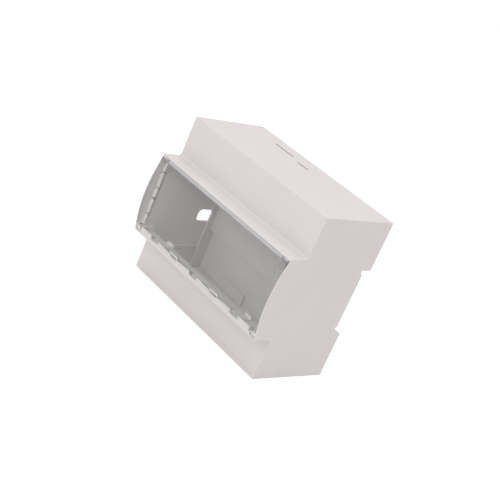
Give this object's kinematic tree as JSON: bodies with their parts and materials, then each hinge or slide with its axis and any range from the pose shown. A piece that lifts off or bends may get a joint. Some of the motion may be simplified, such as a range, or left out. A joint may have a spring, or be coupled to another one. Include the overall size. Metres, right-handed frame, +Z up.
{
  "type": "rail-mount single-board computer case",
  "caption": "Rail-mount plastic case for a single-board computer: grey housing with stepped shoulders and a curved nose, clear snap-in front cover, base tray with rail recess and latches.",
  "frame": {"origin": "under the middle of the case, on its flat bottom face, midway between the back plane and the crown of the nose", "axes": "+X along the rail, +Y towards the rail, +Z up; the nose and its clear cover face -Y"},
  "size_m": [0.106, 0.0632, 0.09],
  "materials": {
    "case_plastic": "fine moulded texture, warm light grey",
    "tray_plastic": "fine moulded texture, warm light grey",
    "clear_plastic": "clear, polished",
    "latch_plastic": "fine moulded texture, light grey"
  },
  "bodies": {
    "case": {"housing": "case_plastic", "base_tray": "tray_plastic"},
    "cover": {"front_cover": "clear_plastic"},
    "latch_left": {"rail_latch_left": "latch_plastic"},
    "latch_right": {"rail_latch_right": "latch_plastic"}
  },
  "joints": [
    {"name": "cover_pull", "type": "slide", "parent": "case", "child": "cover", "axis": [0, -1, 0], "range_m": [0, 0.012]},
    {"name": "latch_left_pull", "type": "slide", "parent": "case", "child": "latch_left", "axis": [0, 0, -1], "range_m": [0, 0.0035], "stiffness_N_per_m": 1500},
    {"name": "latch_right_pull", "type": "slide", "parent": "case", "child": "latch_right", "axis": [0, 0, -1], "range_m": [0, 0.0035], "stiffness_N_per_m": 1500}
  ]
}
